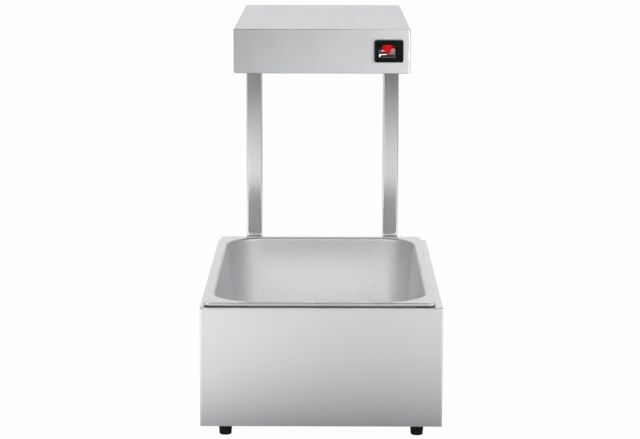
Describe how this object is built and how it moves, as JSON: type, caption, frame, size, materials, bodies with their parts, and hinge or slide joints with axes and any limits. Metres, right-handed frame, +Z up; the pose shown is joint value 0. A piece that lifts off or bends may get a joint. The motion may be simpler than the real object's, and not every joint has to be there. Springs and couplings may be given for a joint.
{
  "type": "fry warmer",
  "caption": "Countertop fry warmer: drop-in food pan in a folded steel case, rear posts carrying an overhanging heat-lamp head with a hooded rocker switch.",
  "frame": {"origin": "Centre of the bounding box in plan, at the table under the feet", "axes": "+Z up, the front with the switch faces -Y, +X to the right as seen from the front"},
  "size_m": [0.34, 0.609, 0.5705],
  "materials": {
    "brushed_steel": "brushed",
    "plain_steel": "mill",
    "fastener_steel": "satin",
    "foot_rubber": "matte",
    "black_plastic": "satin",
    "ceramic": "fired ceramic",
    "quartz": "milky",
    "heating_wire": "oxidised",
    "reflector_metal": "polished",
    "guard_wire": "plated",
    "pan_steel": "satin",
    "red_plastic": "gloss",
    "clear_plastic": "clear"
  },
  "bodies": {
    "warmer": {"base_case": "brushed_steel", "head_shell": "brushed_steel", "post_left": "brushed_steel", "post_right": "brushed_steel", "head_floor": "brushed_steel", "base_floor": "plain_steel", "rear_stiffener": "plain_steel", "lamp_bracket_front": "plain_steel", "lamp_bracket_rear": "plain_steel", "guard_clips": "plain_steel", "foot_screws": "fastener_steel", "foot_nuts": "fastener_steel", "post_screws": "fastener_steel", "post_nuts": "fastener_steel", "head_side_screws": "fastener_steel", "head_side_nuts": "fastener_steel", "head_floor_screws": "fastener_steel", "reflector_screws": "fastener_steel", "guard_screws": "fastener_steel", "foot_front_left": "foot_rubber", "foot_front_right": "foot_rubber", "foot_rear_left": "foot_rubber", "foot_rear_right": "foot_rubber", "post_plug_left": "black_plastic", "post_plug_right": "black_plastic", "gland_body": "black_plastic", "gland_lock_nut": "black_plastic", "gland_cap": "black_plastic", "switch_body": "black_plastic", "switch_hood_frame": "black_plastic", "lamp_cap_left_front": "ceramic", "lamp_cap_left_rear": "ceramic", "lamp_cap_right_front": "ceramic", "lamp_cap_right_rear": "ceramic", "terminal_block": "ceramic", "quartz_tube_left": "quartz", "quartz_tube_right": "quartz", "heating_core_left": "heating_wire", "heating_core_right": "heating_wire", "reflector": "reflector_metal", "wire_guard": "guard_wire", "switch_hood": "clear_plastic"},
    "pan": {"food_pan": "pan_steel"},
    "rocker": {"switch_rocker": "red_plastic"}
  },
  "joints": [
    {"name": "pan_lift", "type": "slide", "parent": "warmer", "child": "pan", "axis": [0, 0, 1], "range_m": [0, 0.155]},
    {"name": "switch_rock", "type": "hinge", "parent": "warmer", "child": "rocker", "pos_m": [0.0918, -0.2025, 0.5395], "axis": [0, 0, -1], "range_deg": [0, 20]}
  ]
}
